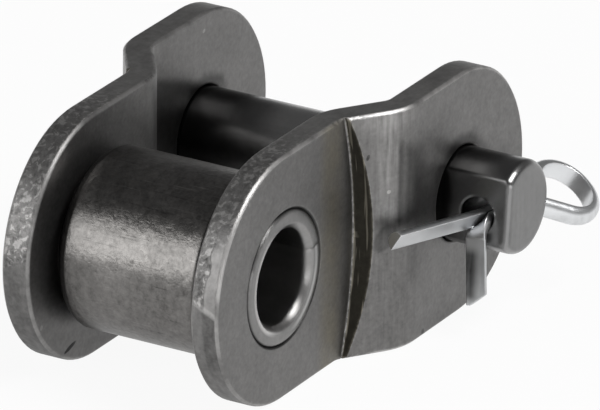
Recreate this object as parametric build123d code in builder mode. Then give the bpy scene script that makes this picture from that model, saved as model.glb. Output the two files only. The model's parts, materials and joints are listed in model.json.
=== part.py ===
from build123d import *
from math import atan2, cos, degrees, radians, sin, tan
import os

# Offset link of a roller chain, half-inch pitch. Millimetres.
# The origin is the centre of the bush. +X runs along the pitch to the pin, +Z is up,
# and the pin's cross hole and cotter pin are at the -Y end.

# Chain sizes
pitch = 12.7
inner_width = 8.4
roller_diameter = 8.51
pin_diameter = 4.45
bush_diameter = 6.4

# Side plates
plate_height = 11.8
plate_thickness = 1.4
crank_offset = 1.95
crank_start = 4.95
crank_length = 2.75
hollow_radius = 0.6
crest_radius = 3.0
plate_edge_chamfer = 0.12
hole_edge_chamfer = 0.08

# Coined clearances for the rounded ends of the neighbouring links
coined_reach = 6.18
coined_radius = 19.2
coined_wall_taper = 8
neighbour_gap = 0.15

# Running clearances, on the radius
bush_bore_clearance = 0.05
roller_bore_clearance = 0.06
pin_hole_clearance = 0.05

# Bush and roller
bush_proud = 0.05
bush_end_chamfer = 0.15
bush_mouth_chamfer = 0.25
bush_seam = 0.06
bush_seam_turn = 13
roller_side_gap = 0.3
roller_edge_chamfer = 0.42
roller_edge_ease = 0.14
roller_bore_chamfer = 0.2

# Pin
pin_reach = 3.4
pin_end_radius = 0.4
flat_distance = 1.55
flat_edge_radius = 0.25
pin_turn = 5.3
head_diameter = 6.0
head_thickness = 0.9
head_gap = 0.06
head_edge_chamfer = 0.2
cross_hole_diameter = 1.72
cross_hole_setback = 1.75
cross_hole_drop = 0.28

# Cotter pin, bent from half-round wire
wire_radius = 0.5
leg_gap = 0.06
shank_drop = 0.22
shank_shift = 0.2
fold_roll = 57.3
eye_length = 4.09
eye_spread = 29.5
eye_swing = 14.2
eye_tilt = 4
eye_roundness = 0.97
neck_run = 0.1
neck_radius = 0.7
leg_a_length = 5.55
leg_a_swing = 14.4
leg_a_radius = 3.0
leg_b_length = 3.2
leg_b_radius = 0.72
leg_b_gap = 0.1
leg_b_lean = 4.5
elbow_steps = 4
tip_b_cut = 0.25
tip_b_slant = 40

# Levels across the link, measured from the middle plane
narrow_inner = inner_width / 2
narrow_outer = narrow_inner + plate_thickness
wide_outer = narrow_outer + crank_offset
wide_inner = wide_outer - plate_thickness
bush_end = narrow_outer + bush_proud
pin_end = wide_outer + pin_reach
head_seat = wide_outer + head_gap
roller_half = narrow_inner - roller_side_gap
cross_hole_level = wide_outer + cross_hole_setback

# Radii and bends that follow from the sizes above
plate_radius = plate_height / 2
bush_radius = bush_diameter / 2
pin_radius = pin_diameter / 2
crank_end = crank_start + crank_length
crank_angle = degrees(atan2(crank_offset, crank_length))
bend_shift = plate_thickness * tan(radians(crank_angle / 2))
spare = plate_thickness

# The bush and the pin stand across the link, seen from the -Y side
bush_plane = Plane.XZ
pin_plane = Plane(
    origin=(pitch, 0, 0),
    x_dir=(cos(radians(pin_turn)), 0, -sin(radians(pin_turn))),
    z_dir=(0, -1, 0),
)


# Near side plate: a bent strip, trimmed to an outline with two round ends
with BuildPart() as cotter_side_plate:
    plate_tail = -plate_radius - spare
    plate_tip = pitch + plate_radius + spare
    with BuildSketch(Plane.XY.offset(-plate_radius - spare)):
        with BuildLine():
            Polyline(
                (plate_tail, -narrow_outer),
                (crank_start, -narrow_outer),
                (crank_end, -wide_outer),
                (plate_tip, -wide_outer),
                (plate_tip, -wide_inner),
                (crank_end + bend_shift, -wide_inner),
                (crank_start + bend_shift, -narrow_inner),
                (plate_tail, -narrow_inner),
                close=True,
            )
        make_face()
        hollows = [(crank_start, -narrow_outer, 0), (crank_end + bend_shift, -wide_inner, 0)]
        crests = [(crank_start + bend_shift, -narrow_inner, 0), (crank_end, -wide_outer, 0)]
        for corner in hollows:
            fillet(vertices().sort_by_distance(corner)[0], radius=hollow_radius)
        for corner in crests:
            fillet(vertices().sort_by_distance(corner)[0], radius=crest_radius)
    extrude(amount=plate_height + 2 * spare)
    with BuildSketch(Plane.XZ):
        with Locations((pitch / 2, 0)):
            SlotCenterToCenter(pitch, plate_height)
    extrude(amount=wide_outer + spare, mode=Mode.INTERSECT)

    # The punched edges are broken all round both faces
    edges = cotter_side_plate.edges()
    outline = edges - edges.filter_by(Axis.Y) - edges.filter_by(Axis.Z)
    chamfer(outline, length=plate_edge_chamfer)

    # Outside, a flat pad with an arched end lets the neighbour's inner face pass the crank
    with BuildSketch(Plane.XZ.offset(narrow_outer)):
        with Locations((coined_reach - coined_radius, 0)):
            Circle(coined_radius)
    extrude(amount=crank_offset + spare, taper=-coined_wall_taper, mode=Mode.SUBTRACT)

    # Inside, a round pocket about the pin lets the neighbour's round end pass the crank
    with BuildSketch(Plane.XZ.offset(narrow_inner)):
        with Locations((pitch, 0)):
            Circle(plate_radius + neighbour_gap)
    extrude(amount=plate_thickness + neighbour_gap, mode=Mode.SUBTRACT)

    # The bush is pressed in at one end, and the pin slips through at the other
    with BuildSketch(Plane.XZ):
        Circle(bush_radius)
        with Locations((pitch, 0)):
            Circle(pin_radius + pin_hole_clearance)
    extrude(amount=wide_outer + spare, mode=Mode.SUBTRACT)
    mouths = cotter_side_plate.edges().filter_by(GeomType.CIRCLE)
    mouths = [edge for edge in mouths if edge.is_closed]
    chamfer(mouths, length=hole_edge_chamfer)


# Far side plate: the same pressing, turned the other way
with BuildPart() as head_side_plate:
    mirror(cotter_side_plate.part, about=Plane.XZ)


# Bush: a strip curled to a tube and pressed into both plates, with its ends eased
with BuildPart() as bush:
    with BuildSketch(bush_plane):
        Circle(bush_radius)
        Circle(pin_radius + bush_bore_clearance, mode=Mode.SUBTRACT)
    extrude(amount=bush_end, both=True)
    rings = bush.edges().filter_by(GeomType.CIRCLE).sort_by(SortBy.RADIUS)
    chamfer(rings[:2], length=bush_mouth_chamfer)
    chamfer(rings[2:], length=bush_end_chamfer)

    # The seam where the strip's ends meet
    with BuildSketch(bush_plane):
        seam_side = (Align.MIN, Align.CENTER)
        Rectangle(bush_radius + spare, bush_seam, rotation=bush_seam_turn, align=seam_side)
    extrude(amount=bush_end + spare, both=True, mode=Mode.SUBTRACT)


# Roller: a free tube on the bush, with its outer edges eased in three steps
with BuildPart() as roller:
    with BuildSketch(bush_plane):
        Circle(roller_diameter / 2)
        Circle(bush_radius + roller_bore_clearance, mode=Mode.SUBTRACT)
    extrude(amount=roller_half, both=True)
    rings = roller.edges().filter_by(GeomType.CIRCLE).sort_by(SortBy.RADIUS)
    chamfer(rings[:2], length=roller_bore_chamfer)
    chamfer(rings[2:], length=roller_edge_chamfer)
    rims = roller.edges().filter_by(GeomType.CIRCLE).sort_by(SortBy.RADIUS)[-4:]
    chamfer(rims, length=roller_edge_ease)


# Pin: a low head at the far end, a flat and a cross hole at the near end
with BuildPart() as pin:
    with BuildSketch(pin_plane.offset(-head_seat)):
        Circle(pin_radius)
    extrude(amount=head_seat + pin_end)
    with BuildSketch(pin_plane.offset(-head_seat)):
        Circle(head_diameter / 2)
    extrude(amount=-head_thickness)
    ends = pin.faces().sort_by(Axis.Y)
    fillet(ends[0].edges(), radius=pin_end_radius)
    chamfer(ends[-1].edges(), length=head_edge_chamfer)

    # The flat runs from the end through the near plate
    with BuildSketch(pin_plane.offset(wide_inner)):
        with Locations((-flat_distance, 0)):
            Rectangle(pin_diameter, pin_diameter, align=(Align.MAX, Align.CENTER))
    extrude(amount=plate_thickness + pin_reach + spare, mode=Mode.SUBTRACT)
    flat = pin.faces().filter_by(Axis(pin_plane.origin, pin_plane.x_dir))[0]
    flat_rim = flat.edges() - flat.edges().group_by(Axis.Y)[-1]
    fillet(flat_rim, radius=flat_edge_radius)

    # The cross hole stands square to the flat, a little below the pin's axis
    cross_plane = Plane(
        origin=pin_plane.from_local_coords((0, -cross_hole_drop, cross_hole_level)),
        x_dir=(0, 1, 0),
        z_dir=pin_plane.x_dir,
    )
    with BuildSketch(cross_plane):
        Circle(cross_hole_diameter / 2)
    extrude(amount=pin_diameter, both=True, mode=Mode.SUBTRACT)


def half_round(origin, flat_side, tangent):
    """The wire's section, with its flat side along one direction and square to the wire's run."""
    plane = Plane(origin=origin, x_dir=flat_side, z_dir=tangent)
    with BuildSketch(plane, mode=Mode.PRIVATE) as section:
        with BuildLine():
            CenterArc((0, 0), wire_radius, 0, 180)
            Line((-wire_radius, 0), (wire_radius, 0))
        make_face()
    return section.sketch


# Cotter pin: one piece of half-round wire, folded back on itself round the eye
# Its own frame has x along the cross hole to the eye and y across the fold, from leg B to leg A
with BuildPart() as cotter_pin:
    roll = radians(fold_roll)
    to_plate = Vector(0, 1, 0)
    fold = pin_plane.y_dir * cos(roll) + to_plate * sin(roll)
    cotter_plane = Plane(
        origin=cross_plane.origin - pin_plane.y_dir * shank_drop - to_plate * shank_shift,
        x_dir=pin_plane.x_dir,
        z_dir=pin_plane.x_dir.cross(fold),
    )
    side = leg_gap / 2
    neck = pin_radius + neck_run
    swing = radians(eye_swing)
    tilt = radians(eye_tilt)
    spread = radians(eye_spread)
    eye_run = Vector(cos(swing) * cos(tilt), -sin(swing) * cos(tilt), sin(tilt)) * eye_length
    eye_rise = Vector(sin(swing), cos(swing), 0) * eye_length * tan(spread)
    eye_radius = eye_roundness * eye_length * sin(spread) / (1 + sin(spread))

    # Leg A swings towards the plate, and leg B is bent down in front of the flat
    tilt_a = radians(leg_a_swing)
    reach_a = cotter_plane.to_local_coords(cotter_plane.origin + to_plate) * sin(tilt_a)
    root_a = Vector(-flat_distance, side, 0)
    root_b = Vector(-flat_distance - leg_b_gap - wire_radius + leg_b_radius, -side, 0)
    route = [
        root_a + (reach_a - Vector(cos(tilt_a), 0, 0)) * leg_a_length,
        root_a,
        Vector(neck, side, 0),
        Vector(neck, 0, 0) + eye_run + eye_rise,
        Vector(neck, 0, 0) + eye_run - eye_rise,
        Vector(neck, -side, 0),
        root_b,
    ]
    with BuildLine(cotter_plane) as wire:
        radii = [leg_a_radius, neck_radius, eye_radius, eye_radius, neck_radius]
        FilletPolyline([tuple(point) for point in route], radius=radii)

    # The elbow of leg B turns the wire as well, so that its flat side faces away from the pin
    out = -pin_plane.x_dir
    lean = radians(leg_b_lean)
    hang = -pin_plane.y_dir * cos(lean) - to_plate * sin(lean)
    elbow_axis = out.cross(hang)
    with BuildLine(Plane(origin=wire.line @ 1, x_dir=out, z_dir=elbow_axis)) as elbow:
        CenterArc((0, leg_b_radius), leg_b_radius, -90, 90)
    elbow_sections = []
    for step in range(elbow_steps + 1):
        along = step / elbow_steps
        tangent = elbow.line % along
        twist = radians(fold_roll - leg_b_lean) * (1 - along)
        flat_side = elbow_axis * -cos(twist) - tangent.cross(elbow_axis) * sin(twist)
        elbow_sections.append(half_round(elbow.line @ along, flat_side, tangent))

    start = wire.line % 0
    sweep(half_round(wire.line @ 0, fold.cross(start), start), path=wire.line)
    loft(elbow_sections)
    extrude(elbow_sections[-1], amount=leg_b_length)

    # The tip of leg B is sheared on a slant
    slant = radians(tip_b_slant)
    tip_b = Plane(
        origin=(elbow.line @ 1) + hang * (leg_b_length - tip_b_cut),
        z_dir=hang * cos(slant) - to_plate * sin(slant),
    )
    with BuildSketch(tip_b):
        Circle(4 * wire_radius)
    extrude(amount=4 * wire_radius, mode=Mode.SUBTRACT)


os.makedirs("parts", exist_ok=True)
pieces = {
    "cotter_side_plate": cotter_side_plate,
    "head_side_plate": head_side_plate,
    "bush": bush,
    "roller": roller,
    "pin": pin,
    "cotter_pin": cotter_pin,
}
for name, piece in pieces.items():
    piece.part.label = name
    export_step(piece.part, f"parts/{name}.step")
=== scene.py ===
import bpy
import json
from math import cos, pi, radians, sin, tan
from mathutils import Matrix, Vector


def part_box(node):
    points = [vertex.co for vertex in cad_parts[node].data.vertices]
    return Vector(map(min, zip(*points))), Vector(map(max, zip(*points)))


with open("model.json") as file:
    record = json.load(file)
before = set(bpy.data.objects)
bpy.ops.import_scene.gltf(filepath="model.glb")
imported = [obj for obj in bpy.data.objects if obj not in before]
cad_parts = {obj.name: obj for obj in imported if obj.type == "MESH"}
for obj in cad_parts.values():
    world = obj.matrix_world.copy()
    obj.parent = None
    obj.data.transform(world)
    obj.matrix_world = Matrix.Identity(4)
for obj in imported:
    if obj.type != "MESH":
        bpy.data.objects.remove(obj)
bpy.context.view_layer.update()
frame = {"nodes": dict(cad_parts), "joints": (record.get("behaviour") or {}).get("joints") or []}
nodes = frame["nodes"]

# Materials and the camera use millimetres and degrees. Objects, lamps and Blender's sockets use metres.
MM = 0.001

# Places on the link that its wear and oil follow
PIN_X = frame["joints"][1]["pos_m"][0] / MM
BUSH_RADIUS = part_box("bush")[1].z / MM
BORE_RADIUS = 2.275
SEAM_TURN = 13
PIN_HOLE_RADIUS = 2.275
PIN_TURN = 5.3
CROSS_HOLE_Y = -9.2
CROSS_HOLE_DROP = 0.28
CROSS_HOLE_RADIUS = 0.86

# Side plates: the faces of the narrow end, the crank, and the faces of the wide end
THICKNESS = 1.4
NARROW_INNER = 4.2
NARROW_OUTER = NARROW_INNER + THICKNESS
CRANK_START = 4.95
CRANK_END = 7.7
CRANK_OFFSET = 1.95
WIDE_INNER = NARROW_INNER + CRANK_OFFSET
WIDE_OUTER = NARROW_OUTER + CRANK_OFFSET

# A mark on one side of the link fades in from the middle, where y is 0, to one of these
NEAR_SIDE = -5.0
FAR_SIDE = 5.0

# Linear greys
PLATE_GREY = 0.185
BUSH_GREY = 0.225
ROLLER_GREY = 0.175
PIN_GREY = 0.20
COTTER_GREY = 0.76
FLOOR_GREY = 0.82

# Share of white in the floor that the camera sees, and that the metal sees
FLOOR_WHITE = 0.93
FLOOR_GLOSS = 0.6
FLOOR_SIZE = 3.0

# Brightness of the room, from the horizon to straight above
ROOM_STOPS = [(0.0, 1.0), (0.06, 0.6), (0.18, 0.2), (0.5, 0.11), (1.0, 0.11)]

# The photograph's camera
IMAGE_WIDTH = 600
CAMERA_PLACE = Vector((-338.321, -200.526, 169.026)) * MM
CAMERA_AZIMUTH = -60.150
CAMERA_ELEVATION = 22.967
CAMERA_ROLL = 0.700
FOCAL_PIXELS = 9526.5
SENSOR_WIDTH = 36.0
CLIP_NEAR = 0.01
CLIP_FAR = 10


class Nodes:
    """Short calls that add and join shader nodes of one material.

    A mask is 1 inside a place and 0 outside it. A tone is a factor around 1 on the material's colour.
    """

    def __init__(self, name):
        self.material = bpy.data.materials.new(name)
        self.material.use_nodes = True
        self.tree = self.material.node_tree
        self.shader = self.tree.nodes["Principled BSDF"]

    def add(self, kind, inputs=None, **settings):
        node = self.tree.nodes.new("ShaderNode" + kind)
        for key, value in settings.items():
            setattr(node, key, value)
        for key, value in (inputs or {}).items():
            self.feed(node.inputs[key], value)
        return node

    def feed(self, socket, value):
        if isinstance(value, bpy.types.NodeSocket):
            self.tree.links.new(value, socket)
        else:
            socket.default_value = value

    def math(self, operation, first, second=0.0, third=0.0, clamp=False):
        inputs = {0: first, 1: second, 2: third}
        return self.add("Math", inputs, operation=operation, use_clamp=clamp).outputs[0]

    def plus(self, value, factor, start, clamp=False):
        """start + value * factor."""
        return self.math("MULTIPLY_ADD", value, factor, start, clamp)

    def size_of(self, value):
        return self.math("ABSOLUTE", value)

    def split(self, vector):
        return self.add("SeparateXYZ", {0: vector}).outputs

    def stretched(self, vector, scale):
        return self.add("VectorMath", {0: vector, 1: scale}, operation="MULTIPLY").outputs[0]

    def noise(self, vector, scale, detail=3.0, roughness=0.5, distortion=0.0):
        inputs = {"Vector": vector, "Scale": scale, "Detail": detail, "Roughness": roughness,
                  "Distortion": distortion}
        return self.add("TexNoise", inputs).outputs["Fac"]

    def drawn_noise(self, scale, detail=2.0, roughness=0.6):
        """A noise with its own scale along each axis, for marks that run one way."""
        return self.noise(self.stretched(self.place, scale), 1.0, detail, roughness)

    def mix(self, factor, first, second, blend="MIX"):
        node = self.add("Mix", data_type="RGBA", blend_type=blend)
        self.feed(node.inputs[0], factor)
        self.feed(node.inputs[6], first)
        self.feed(node.inputs[7], second)
        return node.outputs[2]

    def step(self, value, low, high):
        """0 at low and 1 at high, smooth between. Low may be the larger."""
        node = self.add("MapRange", {"Value": value, "From Min": low, "From Max": high})
        node.interpolation_type = "SMOOTHSTEP"
        return node.outputs["Result"]

    def band(self, value, low, high, edge):
        """1 between low and high, with soft edges."""
        rise = self.step(value, low - edge, low + edge)
        fall = self.step(value, high + edge, high - edge)
        return self.all_of(rise, fall)

    def all_of(self, *masks):
        """1 where every mask is 1."""
        product = masks[0]
        for mask in masks[1:]:
            product = self.math("MULTIPLY", product, mask)
        return product

    def flip(self, mask):
        return self.math("SUBTRACT", 1.0, mask)

    def shift(self, tone, mask, amount):
        """Add an amount to a tone inside a mask."""
        return self.plus(mask, amount, tone)

    def dim(self, tone, mask, share):
        """Take a share off a tone inside a mask."""
        return self.math("MULTIPLY", tone, self.plus(mask, -share, 1.0))

    def vary(self, tone, noise, amount):
        """Add a noise around 0.5 to a tone."""
        return self.plus(self.math("SUBTRACT", noise, 0.5), amount, tone)

    def radius_about(self, x):
        """Distance from an axis along Y."""
        return self.distance(self.math("SUBTRACT", self.x, x), self.z)

    def distance(self, first, second):
        squares = self.math("ADD", self.math("POWER", first, 2.0), self.math("POWER", second, 2.0))
        return self.math("SQRT", squares)

    def worms(self, scale, width):
        """Thin winding lines, as tumbling leaves them on hard steel."""
        field = self.noise(self.place, scale, 1.0, 0.5, 0.4)
        return self.step(self.size_of(self.math("SUBTRACT", field, 0.5)), width, 0.0)

    def specks(self, scale, share, size):
        """Small round spots in some cells of a Voronoi pattern."""
        cells = self.add("TexVoronoi", {"Vector": self.place, "Scale": scale}).outputs
        chance = self.add("SeparateColor", {0: cells["Color"]}).outputs[0]
        spots = self.step(cells["Distance"], size, size * 0.5)
        return self.all_of(spots, self.math("LESS_THAN", chance, share))

    def nick(self, side, x, z, turn, length, width):
        """A small ellipse at a place on one side of the link, with half its length and half its width."""
        across = self.math("SUBTRACT", self.x, x)
        rise = self.math("SUBTRACT", self.z, z)
        c, s = cos(radians(turn)), sin(radians(turn))
        along = self.plus(across, c, self.math("MULTIPLY", rise, s))
        aside = self.plus(across, -s, self.math("MULTIPLY", rise, c))
        along = self.math("POWER", self.math("DIVIDE", along, length), 2.0)
        aside = self.math("POWER", self.math("DIVIDE", aside, width), 2.0)
        inside = self.step(self.math("ADD", along, aside), 1.2, 0.5)
        return self.all_of(inside, self.step(self.y, 0.0, side))


def grey(value, warmth=0.0):
    """A linear grey, a little warmer or cooler."""
    return (value * (1 + warmth), value, value * (1 - warmth), 1.0)


def start_metal(name, colour, soften):
    """A metal with its node's own coordinates and facing, and a normal rounded at its edges."""
    n = Nodes(name)
    n.place = n.stretched(n.add("TexCoord").outputs["Object"], (1 / MM, 1 / MM, 1 / MM))
    n.x, n.y, n.z = n.split(n.place)
    n.side_y = n.size_of(n.y)

    geometry = n.add("NewGeometry").outputs
    facing = n.add("VectorTransform", {0: geometry["True Normal"]}, vector_type="NORMAL",
                   convert_from="WORLD", convert_to="OBJECT").outputs[0]
    n.normal_x, n.normal_y, n.normal_z = n.split(facing)
    n.facing_x = n.size_of(n.normal_x)
    n.facing_y = n.size_of(n.normal_y)

    n.soft = n.add("Bevel", {"Radius": soften * MM}, samples=6).outputs[0]
    both = {0: n.soft, 1: geometry["Normal"]}
    turned = n.add("VectorMath", both, operation="DOT_PRODUCT").outputs["Value"]
    n.edge = n.step(turned, 0.99, 0.90)
    n.colour = colour
    n.feed(n.shader.inputs["Metallic"], 1.0)
    return n


def finish_metal(n, tone, roughness, height, depth):
    """Join a tone, a roughness and a bump height to the shader."""
    tint = n.add("CombineColor", {0: tone, 1: tone, 2: tone}).outputs[0]
    bump = n.add("Bump", {"Height": height, "Strength": 1.0, "Distance": depth * MM, "Normal": n.soft})
    n.feed(n.shader.inputs["Base Color"], n.mix(1.0, n.colour, tint, "MULTIPLY"))
    n.feed(n.shader.inputs["Roughness"], roughness)
    n.feed(n.shader.inputs["Normal"], bump.outputs["Normal"])
    return n.material


def find_plate_places(n):
    """Masks and measures that say where a point lies on a side plate."""
    n.near = n.step(n.y, 0.5, -0.5)

    # Depth in the plate's thickness: 0 at the inner face and 1 at the outer one
    crank = n.add("MapRange", {"Value": n.x, "From Min": CRANK_START, "From Max": CRANK_END})
    inner_face = n.plus(crank.outputs["Result"], CRANK_OFFSET, NARROW_INNER)
    n.through = n.math("DIVIDE", n.math("SUBTRACT", n.side_y, inner_face), THICKNESS)

    # The coined wall at the foot of the crank, and the punched rim all round
    proud = n.step(n.side_y, NARROW_OUTER + 0.02, NARROW_OUTER + 0.06)
    n.wall = n.all_of(n.band(n.x, 4.0, 6.55, 0.05), proud, n.step(n.facing_x, 0.8, 0.95))
    n.rim = n.all_of(n.step(n.facing_y, 0.45, 0.2), n.flip(n.wall))

    # The rounded tail, and the angle up its rim in radians from the middle
    n.tail = n.step(n.x, 3.5, 0.5)
    n.angle = n.math("ARCTAN2", n.z, n.math("MULTIPLY", n.x, -1.0))


def punched_rim(n):
    """Tone of the rim. On the tail it is torn above a step and drawn smooth below it."""
    past_step = n.math("SUBTRACT", n.angle, n.plus(n.through, -0.11, 0.13))
    upper = n.all_of(n.step(past_step, -0.012, 0.012), n.tail)
    low_side = n.step(n.angle, 0.75, 0.45)
    wave = n.plus(n.noise(n.place, 1.3, 2.0, 0.5), 0.34, 0.33)
    past_wave = n.math("SUBTRACT", n.through, wave)
    smooth = n.all_of(n.step(past_wave, -0.04, 0.04), low_side, upper, n.near)
    n.torn = n.math("SUBTRACT", upper, smooth)
    n.drawn = n.drawn_noise((0.42, 4.2, 0.42))

    tone = n.vary(1.02, n.grain, 1.1)
    tone = n.vary(tone, n.blotch, 0.7)
    tone = n.vary(tone, n.drawn, 0.35)
    tone = n.shift(tone, n.all_of(n.step(n.clump, 0.53, 0.61), n.torn), 0.85)
    tone = n.shift(tone, n.all_of(n.step(n.clump, 0.46, 0.36), n.torn), -0.25)
    tone = n.shift(tone, n.all_of(n.worms(4.2, 0.05), n.torn), -0.2)
    tone = n.shift(tone, n.all_of(n.torn, n.near, low_side), -0.14)
    tone = n.shift(tone, smooth, 0.30)
    # Painted light: the rim is lighter where it faces up
    tone = n.shift(tone, n.step(n.normal_z, 0.3, 0.95), 0.40)

    # Below the step the far rim and the near rim's outer half are darker
    far_low = n.all_of(n.step(n.angle, 0.35, 0.0), n.tail, n.flip(n.near))
    tone = n.shift(tone, far_low, -0.22)
    outer_low = n.all_of(n.step(n.through, 0.4, 0.5), n.step(past_step, 0.0, -0.03))
    outer_low = n.all_of(outer_low, n.step(n.angle, -0.65, -0.4), n.tail, n.near)
    tone = n.shift(tone, outer_low, -0.30)

    # The step's bright line, and the dark seam between the torn and the smooth part
    step_line = n.all_of(n.band(past_step, -0.02, 0.03, 0.012), n.near, n.tail)
    seam_line = n.all_of(n.band(past_wave, -0.05, 0.03, 0.04), smooth, n.tail)
    tone = n.shift(tone, step_line, 0.60)
    return n.shift(tone, seam_line, -0.35)


def flat_faces(n):
    """Tone of the faces: fine grain over soft clouds, and a streaked incline with a band of painted
    highlight, painted light growing toward its top, and a painted highlight along its top edge.
    """
    tone = n.vary(1.0, n.fine, 0.6)
    tone = n.vary(tone, n.grain, 0.45)
    tone = n.vary(tone, n.cloud, 0.28)
    tone = n.vary(tone, n.blotch, 0.28)

    incline = n.all_of(n.step(n.x, 5.1, 6.4), n.step(n.x, 9.2, 7.2),
                       n.step(n.side_y, NARROW_OUTER + 0.05, NARROW_OUTER + 0.2))
    # A band across the incline where the streaks are stronger and a painted highlight is laid
    painted_sheen_band = n.all_of(n.band(n.x, 6.55, 7.2, 0.35), n.step(n.z, -1.0, 4.0))
    streak = n.drawn_noise((4.6, 4.6, 0.42))
    streaks = n.math("MULTIPLY", n.math("SUBTRACT", streak, 0.47), n.plus(painted_sheen_band, 1.2, 0.7))
    tone = n.shift(tone, incline, streaks)
    # Painted light on the incline, stronger in the band and toward the top
    lit = n.math("MULTIPLY", n.plus(painted_sheen_band, 0.36, 0.10), n.step(n.z, -4.5, 3.5))
    tone = n.shift(tone, incline, lit)
    # Painted highlight along the top edge of the incline, broken by the streaks
    top = n.math("MULTIPLY", n.step(n.z, 4.6, 5.5), n.plus(streak, 2.2, -0.2, clamp=True))
    return n.shift(tone, n.all_of(top, incline), 0.5)


def coined_wall(n):
    """Tone of the coined wall: darkened as painted shade, with thin drawn slivers and one bright chip."""
    # Painted shade: the wall's tone is kept low, and the drawn slivers lift it in thin lines
    tone = n.plus(n.step(n.drawn_noise((0.3, 5.2, 0.26)), 0.58, 0.63), 0.9, 0.30)
    tone = n.vary(tone, n.grain, 0.25)
    foot = n.step(n.plus(n.clump, 0.4, n.side_y), 6.1, 5.9)
    return n.shift(tone, n.all_of(n.nick(NEAR_SIDE, 6.0, -0.1, 90, 0.16, 1.0), foot), 0.6)


def wear_and_sheen_edges(n, tone):
    """Edges are brightened, here more and there less: partly wear, partly painted highlight."""
    chamfer = n.all_of(n.band(n.facing_y, 0.50, 0.76, 0.02), n.step(n.facing_x, 0.995, 0.97))
    wear_and_sheen = n.all_of(n.math("MAXIMUM", n.edge, chamfer), n.plus(n.cloud, 3.4, -0.9, clamp=True))

    # The line is broken by the coined wall, and weaker on the low tail and the far plate
    broken = n.plus(n.step(n.clump, 0.42, 0.58), -0.75, 0.95)
    wear_and_sheen = n.dim(wear_and_sheen, n.all_of(n.band(n.x, 4.2, 6.4, 0.2), broken), 1.0)
    low_tail = n.all_of(n.step(n.angle, 0.15, -0.4), n.tail, n.near)
    wear_and_sheen = n.dim(wear_and_sheen, n.math("ADD", low_tail, n.flip(n.near)), 0.6)
    # Edge wear and painted highlight brighten the edges
    return n.shift(tone, wear_and_sheen, 1.5)


def mark_plates(n, tone):
    """Pits and bright spots all over, the few nicks that the photograph shows, and one painted shadow on
    the incline beside the tip of the cotter's lying leg.
    """
    tone = n.shift(tone, n.specks(0.62, 0.22, 0.10), 0.5)
    tone = n.shift(tone, n.specks(0.54, 0.16, 0.11), -0.45)

    inner_face = n.step(n.through, 0.5, 0.3)
    far_gash = n.all_of(n.nick(FAR_SIDE, -2.27, -4.80, 14, 0.55, 0.12), inner_face)
    far_spot = n.all_of(n.nick(FAR_SIDE, 12.74, 5.04, 20, 0.14, 0.10), inner_face)
    tone = n.shift(tone, far_gash, -0.95)
    tone = n.shift(tone, far_spot, 0.6)
    tone = n.shift(tone, n.nick(NEAR_SIDE, 6.94, 1.99, 90, 0.10, 0.09), 1.0)
    tone = n.shift(tone, n.nick(NEAR_SIDE, 6.07, 3.83, 75, 0.16, 0.07), -0.6)
    # Painted shadow of the cotter's lying leg on the near incline, beside its tip
    return n.dim(tone, n.nick(NEAR_SIDE, 6.80, -0.25, 65, 0.75, 0.45), 0.4)


def dark_marks_and_shade(n, tone):
    """A dark line about the pressed bush, darker plate just above the pin's hole, and painted shade
    beside the pin on both plates.
    """
    outer_face = n.step(n.side_y, NARROW_OUTER - 0.3, NARROW_OUTER - 0.1)
    ring = n.step(n.radius_about(0.0), BUSH_RADIUS + 0.13, BUSH_RADIUS + 0.05)
    tone = n.dim(tone, n.all_of(ring, outer_face), 0.85)

    from_hole = n.math("SUBTRACT", n.radius_about(PIN_X), PIN_HOLE_RADIUS)
    dark_above_hole = n.step(n.plus(n.cloud, 0.9, from_hole), 1.3, 0.7)
    tone = n.dim(tone, n.all_of(dark_above_hole, n.step(n.z, 0.6, 2.4)), 0.6)

    # Painted shade below a slanting line: outside on the near plate, where the pin's dark side is
    # mirrored, and inside on the far one, between the plates
    level = n.plus(n.math("SUBTRACT", n.x, CRANK_END), 0.36, n.z)
    outside = n.all_of(n.near, n.step(n.through, 0.8, 0.95))
    painted_shade_by_pin = n.all_of(n.step(n.x, 7.25, 7.45), n.step(n.x, 9.9, 8.3), n.band(level, 0.0, 4.2, 0.4))
    tone = n.dim(tone, n.all_of(painted_shade_by_pin, outside), 0.52)
    inside = n.all_of(n.step(n.y, 0.0, 5.0), n.step(n.through, 0.2, 0.05))
    painted_shade_between = n.all_of(n.band(n.x, 8.2, 12.2, 0.6), n.step(level, 4.6, 4.1))
    return n.dim(tone, n.all_of(painted_shade_between, inside), 0.6)


def plate_material():
    n = start_metal("plate_steel", grey(PLATE_GREY, 0.018), 0.20)
    n.fine = n.noise(n.place, 5.2, 2.0, 0.6)
    n.grain = n.noise(n.place, 2.3, 3.0, 0.65)
    n.clump = n.noise(n.place, 3.6, 2.0, 0.55, 0.5)
    n.cloud = n.noise(n.place, 0.62, 3.0, 0.6)
    n.blotch = n.noise(n.place, 0.19, 3.0, 0.55)
    find_plate_places(n)

    tone = n.math("MULTIPLY", flat_faces(n), n.flip(n.wall))
    tone = n.shift(tone, n.wall, coined_wall(n))
    tone = n.math("MULTIPLY", tone, n.flip(n.rim))
    tone = n.shift(tone, n.rim, punched_rim(n))
    tone = wear_and_sheen_edges(n, tone)
    tone = mark_plates(n, tone)
    tone = dark_marks_and_shade(n, tone)

    # The coined wall is brownish, and so is the oil beside it
    brown_oil = n.all_of(n.band(n.x, 3.4, 5.0, 0.6), n.step(n.side_y, NARROW_OUTER - 0.2, NARROW_OUTER),
                         n.plus(n.cloud, 1.8, 0.0, clamp=True))
    brown = (PLATE_GREY * 0.99, PLATE_GREY * 0.92, PLATE_GREY * 0.76, 1)
    n.colour = n.mix(n.math("MAXIMUM", brown_oil, n.wall), n.colour, brown)

    rough = n.plus(n.rim, 0.06, n.plus(n.fine, 0.10, 0.38))
    height = n.plus(n.all_of(n.torn, n.rim, n.grain), 6.0, n.fine)
    height = n.plus(n.all_of(n.rim, n.drawn), 1.2, height)
    height = n.plus(n.cloud, 1.2, height)
    return finish_metal(n, tone, rough, height, 0.004)


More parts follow.
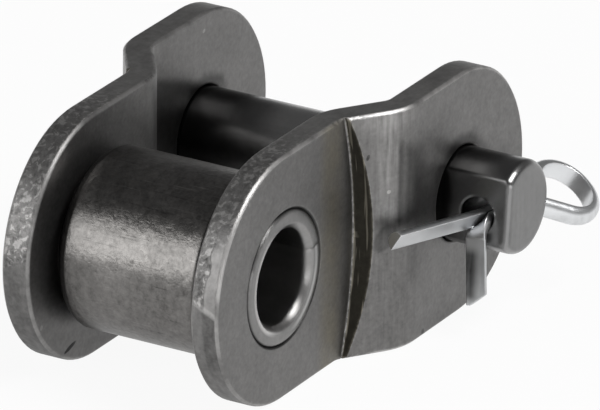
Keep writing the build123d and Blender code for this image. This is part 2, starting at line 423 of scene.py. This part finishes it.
def bush_material():
    n = start_metal("bush_steel", grey(BUSH_GREY, 0.015), 0.34)
    radius = n.radius_about(0.0)
    blotch = n.noise(n.place, 0.5, 3.0, 0.6)
    fine = n.noise(n.place, 4.6, 2.0, 0.6)
    drawn = n.drawn_noise((2.6, 0.3, 2.6))
    tone = n.vary(1.0, blotch, 0.4)
    tone = n.vary(tone, drawn, 0.3)
    tone = n.vary(tone, fine, 0.25)
    # Painted highlight on the lip of the bore, stronger on its left
    lip = n.band(radius, BORE_RADIUS - 0.1, BORE_RADIUS + 0.30, 0.06)
    tone = n.shift(tone, lip, n.plus(n.step(n.x, 0.0, -1.2), 0.8, 0.3))

    # Painted highlights on the flared mouth: on its left, and on its right below the seam
    end_face = n.step(n.side_y, NARROW_OUTER - 0.3, NARROW_OUTER - 0.1)
    left = n.all_of(n.band(radius, BORE_RADIUS + 0.16, BORE_RADIUS + 0.40, 0.08), n.step(n.x, -0.6, -1.9))
    tone = n.shift(tone, n.all_of(left, end_face), 1.6)
    below_seam = n.step(n.plus(n.x, -tan(radians(SEAM_TURN)), n.z), 0.0, -0.08)
    right = n.all_of(n.band(radius, BORE_RADIUS + 0.44, BORE_RADIUS + 0.62, 0.08), n.step(n.x, 0.4, 1.6))
    tone = n.shift(tone, n.all_of(right, below_seam, end_face), 0.9)

    # Painted shade darkens the bore further in from its mouth, and the groove about the bush is darker
    bore = n.step(radius, BORE_RADIUS + 0.22, BORE_RADIUS + 0.04)
    tone = n.dim(tone, n.all_of(bore, n.step(n.side_y, NARROW_OUTER, NARROW_OUTER - 1.2)), 0.25)
    tone = n.dim(tone, n.step(radius, BUSH_RADIUS - 0.12, BUSH_RADIUS - 0.03), 0.75)
    rough = n.plus(blotch, 0.12, 0.24)
    return finish_metal(n, tone, rough, drawn, 0.003)


def roller_material():
    n = start_metal("roller_steel", grey(ROLLER_GREY, 0.035), 0.12)
    blotch = n.noise(n.place, 0.3, 4.0, 0.62, 0.6)
    mottle = n.noise(n.place, 1.7, 3.0, 0.65)
    clump = n.noise(n.place, 2.9, 2.0, 0.55, 0.6)
    fine = n.noise(n.place, 5.2, 2.0, 0.6)
    scratch = n.drawn_noise((5.2, 0.3, 5.2), 3.0, 0.65)
    hoop = n.drawn_noise((0.42, 3.0, 0.42))
    tone = n.vary(1.0, blotch, 0.9)
    tone = n.vary(tone, mottle, 0.6)
    tone = n.vary(tone, clump, 0.7)
    tone = n.vary(tone, fine, 0.5)
    tone = n.vary(tone, hoop, 0.25)
    tone = n.shift(tone, n.step(scratch, 0.62, 0.74), 0.5)
    tone = n.shift(tone, n.step(scratch, 0.40, 0.30), -0.25)
    tone = n.shift(tone, n.worms(3.6, 0.055), -0.12)
    tone = n.shift(tone, n.specks(0.7, 0.2, 0.12), -0.4)

    # Painted shade darkens both ends where they meet the plates, and the far half is a little darker
    tone = n.dim(tone, n.step(n.plus(mottle, 0.15, n.side_y), 3.28, 3.45), 0.62)
    tone = n.dim(tone, n.step(n.y, 0.5, 3.6), 0.25)
    rough = n.plus(mottle, 0.16, 0.24)
    height = n.plus(clump, 1.1, n.plus(scratch, 0.2, mottle))
    return finish_metal(n, tone, rough, height, 0.016)


def pin_material():
    n = start_metal("pin_steel", grey(PIN_GREY, 0.005), 0.22)
    fine = n.noise(n.place, 4.6, 2.0, 0.6)
    blotch = n.noise(n.place, 0.42, 3.0, 0.6)
    ground = n.drawn_noise((3.2, 0.7, 0.26))
    tone = n.vary(0.95, fine, 0.3)
    tone = n.vary(tone, blotch, 0.35)
    tone = n.vary(tone, ground, 0.25)

    # Painted highlight on the rounded edge of the near end, and the end face painted a little brighter
    painted_sheen_band = n.all_of(n.band(n.facing_y, 0.35, 0.85, 0.15), n.step(n.y, -10.4, -10.6))
    tone = n.shift(tone, painted_sheen_band, 0.6)
    tone = n.shift(tone, n.step(n.normal_y, -0.9, -0.98), 0.15)

    # Painted shade darkens the cross hole, and the pin where it leaves the plate, more where it faces up
    turn = radians(PIN_TURN)
    level = n.plus(n.z, cos(turn), n.math("MULTIPLY", n.math("SUBTRACT", n.x, PIN_X), sin(turn)))
    above_hole = n.math("ADD", level, CROSS_HOLE_DROP)
    from_hole = n.distance(above_hole, n.math("SUBTRACT", n.y, CROSS_HOLE_Y))
    hole = n.step(from_hole, CROSS_HOLE_RADIUS + 0.06, CROSS_HOLE_RADIUS)
    tone = n.dim(tone, n.all_of(hole, n.step(n.facing_x, 0.95, 0.8)), 0.8)
    outside = n.step(n.side_y, WIDE_OUTER - 0.25, WIDE_OUTER - 0.05)
    tone = n.dim(tone, n.all_of(outside, n.step(n.side_y, 8.9, 7.7)), 0.45)
    on_top = n.all_of(n.step(n.side_y, 10.3, 8.4), n.step(n.normal_z, 0.2, 0.6))
    tone = n.dim(tone, n.all_of(outside, on_top), 0.5)

    # Between the plates, painted shade darkens it by the far plate, and a painted highlight brightens it
    # further along, most where it faces up
    between = n.step(n.side_y, WIDE_INNER + 0.55, WIDE_INNER + 0.05)
    tone = n.dim(tone, n.all_of(between, n.step(n.y, 2.2, 4.6)), 0.75)
    painted_pin_highlight = n.all_of(between, n.step(n.y, 2.8, 1.2))
    tone = n.shift(tone, painted_pin_highlight, n.plus(n.step(n.normal_z, 0.5, 0.9), 0.8, 0.35))
    rough = n.plus(fine, 0.06, 0.22)
    return finish_metal(n, tone, rough, ground, 0.0008)


def cotter_material():
    n = start_metal("cotter_zinc", grey(COTTER_GREY, -0.014), 0.08)
    cloudy = n.noise(n.place, 1.3, 3.0, 0.6)
    blotch = n.noise(n.place, 0.42, 3.0, 0.6)
    streak = n.drawn_noise((3.0, 3.0, 0.3))
    tone = n.vary(0.95, blotch, 0.3)
    tone = n.vary(tone, cloudy, 0.15)

    # The eye is painted brighter as a highlight, the tip of the leg that lies over the plate is duller,
    # and that leg's upper side has a painted highlight
    tone = n.shift(tone, n.step(n.x, 13.5, 15.0), 0.22)
    tone = n.shift(tone, n.step(n.x, 11.2, 10.4), -0.16)
    upper_side = n.all_of(n.step(n.x, 11.8, 10.8), n.step(n.normal_z, 0.0, 0.5))
    tone = n.shift(tone, upper_side, 0.35)

    # The leg that hangs down has painted shade on its inner half, and its tip is left bright
    hangs = n.step(n.z, -1.3, -1.9)
    inner = n.step(n.plus(streak, 0.4, n.y), -9.7, -9.3)
    painted_leg_shade = n.all_of(hangs, n.step(n.z, -4.2, -3.7), n.plus(inner, 0.42, 0.18))
    tone = n.shift(tone, painted_leg_shade, -1.0)
    tone = n.vary(tone, streak, n.math("MULTIPLY", hangs, 0.5))
    # Edges brighter: partly wear, partly painted highlight
    tone = n.shift(tone, n.edge, 0.3)
    rough = n.plus(cloudy, 0.08, 0.27)
    return finish_metal(n, tone, rough, cloudy, 0.0004)


def dress(node, material):
    mesh = nodes[node].data
    for index in range(len(mesh.materials)):
        mesh.materials[index] = material


def make_floor():
    """Pale floor: white to the camera and pale in reflections, with the object's faint shadow."""
    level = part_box("cotter_side_plate")[0].z
    bpy.ops.mesh.primitive_plane_add(size=FLOOR_SIZE, location=(0.0, 0.0, level))
    floor = bpy.context.object
    floor.name = "floor"
    n = Nodes("floor_white")
    n.feed(n.shader.inputs["Base Color"], grey(FLOOR_GREY))
    n.feed(n.shader.inputs["Roughness"], 1.0)
    n.feed(n.shader.inputs["Specular IOR Level"], 0.0)
    white = n.add("Emission", {"Color": grey(1.0), "Strength": 1.0}).outputs[0]
    rays = n.add("LightPath").outputs
    seen = n.math("MAXIMUM", rays["Is Camera Ray"], rays["Is Transmission Ray"])
    share = n.plus(rays["Is Glossy Ray"], FLOOR_GLOSS, n.math("MULTIPLY", seen, FLOOR_WHITE), clamp=True)
    mixer = n.add("MixShader", {0: share, 1: n.shader.outputs[0], 2: white})
    n.feed(n.tree.nodes["Material Output"].inputs["Surface"], mixer.outputs[0])
    floor.data.materials.append(n.material)


def make_world():
    """White behind the object, and a darker studio above it."""
    world = bpy.data.worlds.new("studio")
    bpy.context.scene.world = world
    world.use_nodes = True
    tree = world.node_tree
    place = tree.nodes.new("ShaderNodeTexCoord")
    axes = tree.nodes.new("ShaderNodeSeparateXYZ")
    tree.links.new(place.outputs["Generated"], axes.inputs[0])
    ramp = tree.nodes.new("ShaderNodeValToRGB")
    tree.links.new(axes.outputs[2], ramp.inputs[0])
    stops = ramp.color_ramp.elements
    while len(stops) < len(ROOM_STOPS):
        stops.new(0.5)
    for stop, (position, value) in zip(stops, ROOM_STOPS):
        stop.position = position
        stop.color = grey(value)
    room = tree.nodes["Background"]
    tree.links.new(ramp.outputs[0], room.inputs["Color"])
    white = tree.nodes.new("ShaderNodeBackground")
    white.inputs["Color"].default_value = grey(1.0)
    path = tree.nodes.new("ShaderNodeLightPath")
    mixer = tree.nodes.new("ShaderNodeMixShader")
    tree.links.new(path.outputs["Is Camera Ray"], mixer.inputs[0])
    tree.links.new(room.outputs[0], mixer.inputs[1])
    tree.links.new(white.outputs[0], mixer.inputs[2])
    tree.links.new(mixer.outputs[0], tree.nodes["World Output"].inputs["Surface"])


def make_lamp(name, azimuth, elevation, distance, size, radiance):
    """A soft box aimed at the link, as bright as a surface of the given radiance."""
    lamp = bpy.data.lights.new(name, "AREA")
    lamp.shape = "RECTANGLE"
    lamp.size, lamp.size_y = size
    lamp.energy = radiance * pi * pi * size[0] * size[1]
    obj = bpy.data.objects.new(name, lamp)
    bpy.context.collection.objects.link(obj)
    middle = Vector((PIN_X / 2 * MM, 0, 0))
    turn = radians(azimuth)
    rise = radians(elevation)
    obj.location = middle + Vector((cos(turn) * cos(rise), sin(turn) * cos(rise), sin(rise))) * distance
    obj.rotation_euler = (middle - obj.location).to_track_quat("-Z", "Y").to_euler()


def make_camera():
    camera = bpy.data.objects.new("camera", bpy.data.cameras.new("camera"))
    bpy.context.collection.objects.link(camera)
    camera.data.sensor_width = SENSOR_WIDTH
    camera.data.lens = FOCAL_PIXELS / IMAGE_WIDTH * SENSOR_WIDTH
    camera.data.clip_start = CLIP_NEAR
    camera.data.clip_end = CLIP_FAR
    turn = Matrix.Rotation(radians(CAMERA_AZIMUTH), 4, "Z")
    tilt = Matrix.Rotation(radians(90 - CAMERA_ELEVATION), 4, "X")
    roll = Matrix.Rotation(radians(CAMERA_ROLL), 4, "Z")
    camera.matrix_world = Matrix.Translation(CAMERA_PLACE) @ turn @ tilt @ roll
    bpy.context.scene.camera = camera


bpy.context.scene.view_settings.view_transform = "Standard"
make_camera()
make_world()
make_floor()
make_lamp("left_box", 150, 17, 0.6, (0.34, 0.42), 1.05)
make_lamp("front_box", -85, 55, 0.6, (0.34, 0.26), 3.2)
make_lamp("front_strip", -125, 6, 0.6, (0.10, 0.12), 2.5)

plate = plate_material()
dress("cotter_side_plate", plate)
dress("head_side_plate", plate)
dress("bush", bush_material())
dress("roller", roller_material())
dress("pin", pin_material())
dress("cotter_pin", cotter_material())
